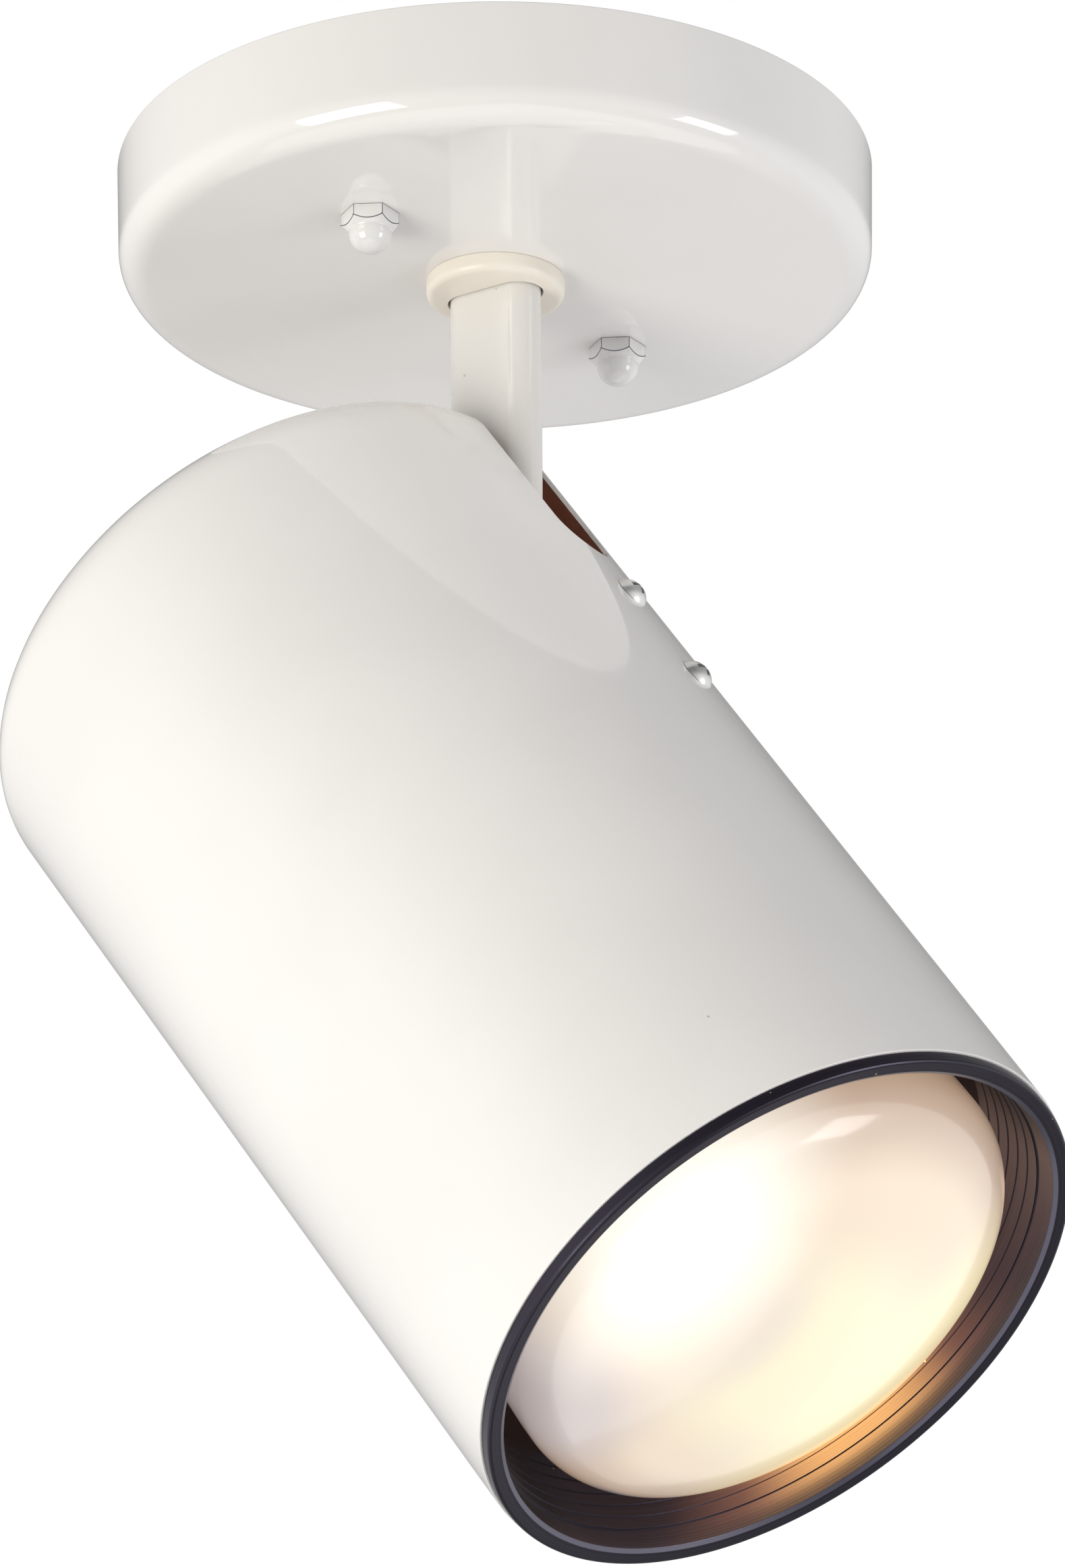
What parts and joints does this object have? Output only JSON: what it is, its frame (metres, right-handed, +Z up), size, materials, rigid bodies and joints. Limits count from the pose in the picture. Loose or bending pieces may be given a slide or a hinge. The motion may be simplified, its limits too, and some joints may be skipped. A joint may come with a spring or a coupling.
{
  "type": "adjustable ceiling spotlight",
  "caption": "Adjustable cylinder ceiling spotlight: round white canopy, swivelling flattened stem and tilting can with a black stepped ring round a frosted reflector lamp.",
  "frame": {"origin": "centre of the ceiling plane that the canopy's rim and the crossbar lie on", "axes": "+Z up into the ceiling, X along the crossbar through both canopy studs"},
  "size_m": [0.1334, 0.1909, 0.2562],
  "materials": {
    "canopy_enamel": "gloss",
    "nut_enamel": "gloss",
    "shade_enamel": "gloss",
    "stem_enamel": "gloss",
    "collar_nylon": "satin",
    "zinc_steel": "zinc plated",
    "green_zinc": "plated",
    "nickel": "polished",
    "black_anodised": "satin black anodised",
    "fibre": "matte",
    "porcelain": "glazed",
    "brass": "bright",
    "frosted_glass": "frosted, lit",
    "lamp_nickel": "bright",
    "black_glass": "gloss",
    "solder": "dull",
    "black_insulation": "satin",
    "white_insulation": "satin"
  },
  "bodies": {
    "canopy": {"canopy": "canopy_enamel", "crossbar": "zinc_steel", "canopy_studs": "zinc_steel", "stud_nuts": "zinc_steel", "acorn_nuts": "nut_enamel", "ground_screw": "green_zinc", "stop_pin": "zinc_steel"},
    "stem": {"stem": "stem_enamel", "swivel_bush": "collar_nylon", "spring_washer": "zinc_steel", "stop_washer": "zinc_steel", "lead_bushing": "fibre", "black_lead": "black_insulation", "white_lead": "white_insulation"},
    "head": {"shade": "shade_enamel", "baffle": "black_anodised", "pivot_bracket": "zinc_steel", "pivot_screw": "zinc_steel", "pivot_nut": "zinc_steel", "pivot_lock_washer": "zinc_steel", "friction_washers": "fibre", "bracket_screws": "nickel", "bracket_nuts": "zinc_steel", "socket_strap": "zinc_steel", "socket_screw": "zinc_steel", "socket_body": "porcelain", "socket_shell": "brass", "socket_contact": "brass", "terminal_screws": "brass", "lamp_bulb": "frosted_glass", "lamp_base": "lamp_nickel", "lamp_insulator": "black_glass", "lamp_contact": "solder", "black_tail": "black_insulation", "white_tail": "white_insulation"}
  },
  "joints": [
    {"name": "swivel", "type": "hinge", "parent": "canopy", "child": "stem", "pos_m": [0, 0, -0.021], "axis": [0, 0, 1], "range_deg": [-170.94, 159.06]},
    {"name": "tilt", "type": "hinge", "parent": "stem", "child": "head", "pos_m": [0, 0, -0.0808], "axis": [-0.9946, -0.1035, 0], "range_deg": [-35, 55], "deforming": ["black_tail", "white_tail"]}
  ]
}
